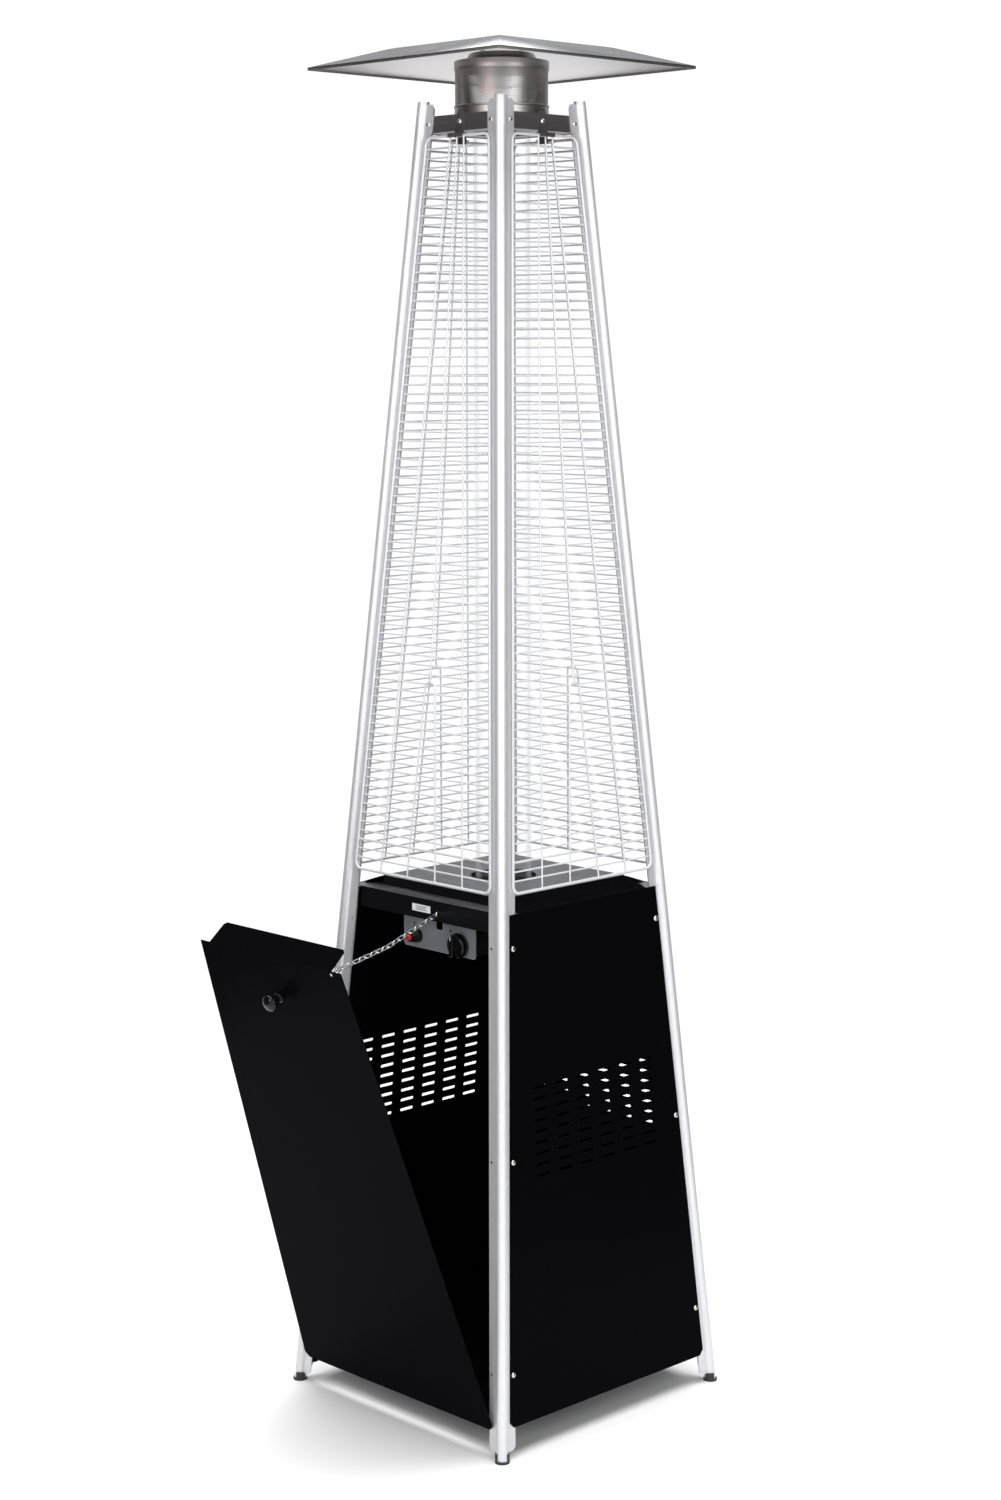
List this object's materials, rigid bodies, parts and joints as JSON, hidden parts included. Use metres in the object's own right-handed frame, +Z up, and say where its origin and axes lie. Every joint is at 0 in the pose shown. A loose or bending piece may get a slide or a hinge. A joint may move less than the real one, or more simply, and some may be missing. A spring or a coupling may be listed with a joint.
{
  "type": "outdoor gas heater",
  "caption": "Tall square tapering patio heater: black cabinet with a chained drop-down door, open wire-guarded column round a glass flame tube, and a square reflector on top.",
  "frame": {"origin": "on the floor, in the middle of the four legs", "axes": "+Z up, -Y towards the door, +X to the right of someone who stands in front and faces the door"},
  "size_m": [0.5312, 0.7924, 2.2728],
  "materials": {
    "leg_aluminium": "satin extruded",
    "black_panel": "gloss black powder coat",
    "deck_steel": "grey coated sheet",
    "reflector_steel": "brushed sheet",
    "head_steel": "brushed stainless sheet",
    "wire": "bright white-silver coated wire",
    "strap_steel": "dark stainless strap",
    "clip_black": "dark coated clip",
    "screw_steel": "bright zinc",
    "chain_steel": "bright plated wire",
    "glass": "clear",
    "foot_plastic": "moulded",
    "knob_plastic": "polished black",
    "button_plastic": "red",
    "control_grey": "satin grey with printed pictograms",
    "label_white": "blank printed plate",
    "brass": "machined",
    "bracket_zinc": "zinc plated",
    "gasket": "heat-proof fibre ring",
    "dark_iron": "heat-stained"
  },
  "bodies": {
    "frame": {"back_panel": "black_panel", "base_tray": "black_panel", "burner_bowl": "dark_iron", "burner_deck": "deck_steel", "burner_head": "dark_iron", "chain_staple": "chain_steel", "control_plate": "control_grey", "deck_brackets": "bracket_zinc", "door_hinge_brackets": "black_panel", "front_beam": "deck_steel", "gas_inlet": "brass", "gas_valve": "dark_iron", "glass_tube": "glass", "guard_back": "wire", "guard_clips": "clip_black", "guard_front": "wire", "guard_left": "wire", "guard_right": "wire", "head_band": "head_steel", "head_cap": "head_steel", "head_plate": "strap_steel", "igniter_body": "knob_plastic", "igniter_nut": "knob_plastic", "label_plate": "label_white", "leg_feet": "foot_plastic", "leg_joiners": "bracket_zinc", "leg_lower_back_left": "leg_aluminium", "leg_lower_back_right": "leg_aluminium", "leg_lower_front_left": "leg_aluminium", "leg_lower_front_right": "leg_aluminium", "leg_upper_back_left": "leg_aluminium", "leg_upper_back_right": "leg_aluminium", "leg_upper_front_left": "leg_aluminium", "leg_upper_front_right": "leg_aluminium", "panel_screws": "screw_steel", "perforated_screen": "head_steel", "reflector": "reflector_steel", "reflector_studs": "screw_steel", "side_panel_left": "black_panel", "side_panel_right": "black_panel", "spark_electrode": "bracket_zinc", "supply_pipe": "brass", "thermocouple": "brass", "tilt_switch": "foot_plastic", "top_screws": "screw_steel", "top_straps": "strap_steel", "tube_gaskets": "gasket", "tube_seat": "dark_iron", "valve_bracket": "bracket_zinc"},
    "door": {"door_panel": "black_panel", "door_chain_hook": "chain_steel", "door_hinge_pins": "screw_steel"},
    "latch": {"door_knob": "knob_plastic", "latch_cam": "bracket_zinc"},
    "chain_upper": {"chain_upper": "chain_steel"},
    "chain_lower": {"chain_lower": "chain_steel"},
    "stem": {"valve_stem": "bracket_zinc"},
    "knob": {"control_knob": "knob_plastic"},
    "igniter": {"igniter_button": "button_plastic"}
  },
  "joints": [
    {"name": "door_hinge", "type": "hinge", "parent": "frame", "child": "door", "pos_m": [0, -0.2465, 0.047], "axis": [1, 0, 0], "range_deg": [-22.6, 0]},
    {"name": "latch_turn", "type": "hinge", "parent": "door", "child": "latch", "pos_m": [0, -0.49275, 0.76988], "axis": [0, -0.9494, -0.3141], "range_deg": [-90, 0]},
    {"name": "chain_upper_swing", "type": "hinge", "parent": "frame", "child": "chain_upper", "pos_m": [0.0285, -0.184, 0.859], "axis": [0.8419, 0.2595, 0.4731], "range_deg": [0, 75.28], "deforming": ["chain_upper"]},
    {"name": "chain_lower_swing", "type": "hinge", "parent": "chain_upper", "child": "chain_lower", "pos_m": [0.08849, -0.34439, 0.84022], "axis": [-0.6739, -0.264, 0.6901], "range_deg": [0, 134.97], "deforming": ["chain_lower"]},
    {"name": "valve_push", "type": "slide", "parent": "frame", "child": "stem", "axis": [0, 1, 0], "range_m": [0, 0.004], "stiffness_N_per_m": 900},
    {"name": "knob_turn", "type": "hinge", "parent": "stem", "child": "knob", "pos_m": [0.053, -0.16, 0.8075], "axis": [0, -1, 0], "range_deg": [0, 180]},
    {"name": "igniter_push", "type": "slide", "parent": "frame", "child": "igniter", "axis": [0, 1, 0], "range_m": [0, 0.005], "stiffness_N_per_m": 600}
  ],
  "couplings": [
    {"joint": "chain_upper_swing", "follows": "door_hinge", "ratio": -3.3306},
    {"joint": "chain_lower_swing", "follows": "door_hinge", "ratio": -5.9715}
  ]
}
